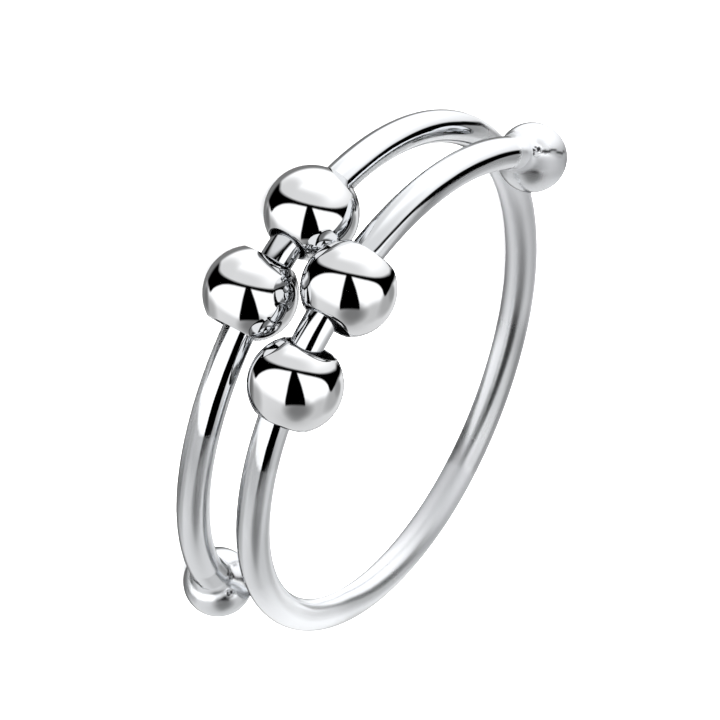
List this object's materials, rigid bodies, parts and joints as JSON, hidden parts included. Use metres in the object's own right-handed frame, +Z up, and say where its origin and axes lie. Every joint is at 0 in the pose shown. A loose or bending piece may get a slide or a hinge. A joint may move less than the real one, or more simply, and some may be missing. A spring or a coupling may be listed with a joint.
{
  "type": "spinner ring",
  "caption": "Open coiled silver wire finger ring with soldered ball ends and loose round beads that spin on its strands.",
  "frame": {"origin": "on the surface the ring lies on, under the middle of its outline", "axes": "+Z up from the surface, nearly along the finger; -Y towards the beads; +X towards the lower ball"},
  "size_m": [0.0214, 0.0208, 0.0064],
  "materials": {
    "wire": "polished silver wire, with soldered balls",
    "bead": "mirror-polished silver"
  },
  "bodies": {
    "ring": {"band": "wire"},
    "top": {"bead_top": "bead"},
    "left": {"bead_left": "bead"},
    "right": {"bead_right": "bead"},
    "bottom": {"bead_bottom": "bead"}
  },
  "joints": [
    {"name": "top_spin", "type": "hinge", "parent": "ring", "child": "top", "pos_m": [-0.00293, -0.00825, 0.00168], "axis": [0.9428, -0.3133, 0.114], "continuous": true},
    {"name": "left_spin", "type": "hinge", "parent": "ring", "child": "left", "pos_m": [0.00058, -0.00874, 0.00173], "axis": [0.9956, 0.0606, 0.072], "continuous": true},
    {"name": "right_spin", "type": "hinge", "parent": "ring", "child": "right", "pos_m": [-0.00131, -0.0083, 0.00469], "axis": [0.9936, -0.1023, 0.0487], "continuous": true},
    {"name": "bottom_spin", "type": "hinge", "parent": "ring", "child": "bottom", "pos_m": [0.0024, -0.00793, 0.00477], "axis": [0.9544, 0.2985, 0.0025], "continuous": true}
  ]
}
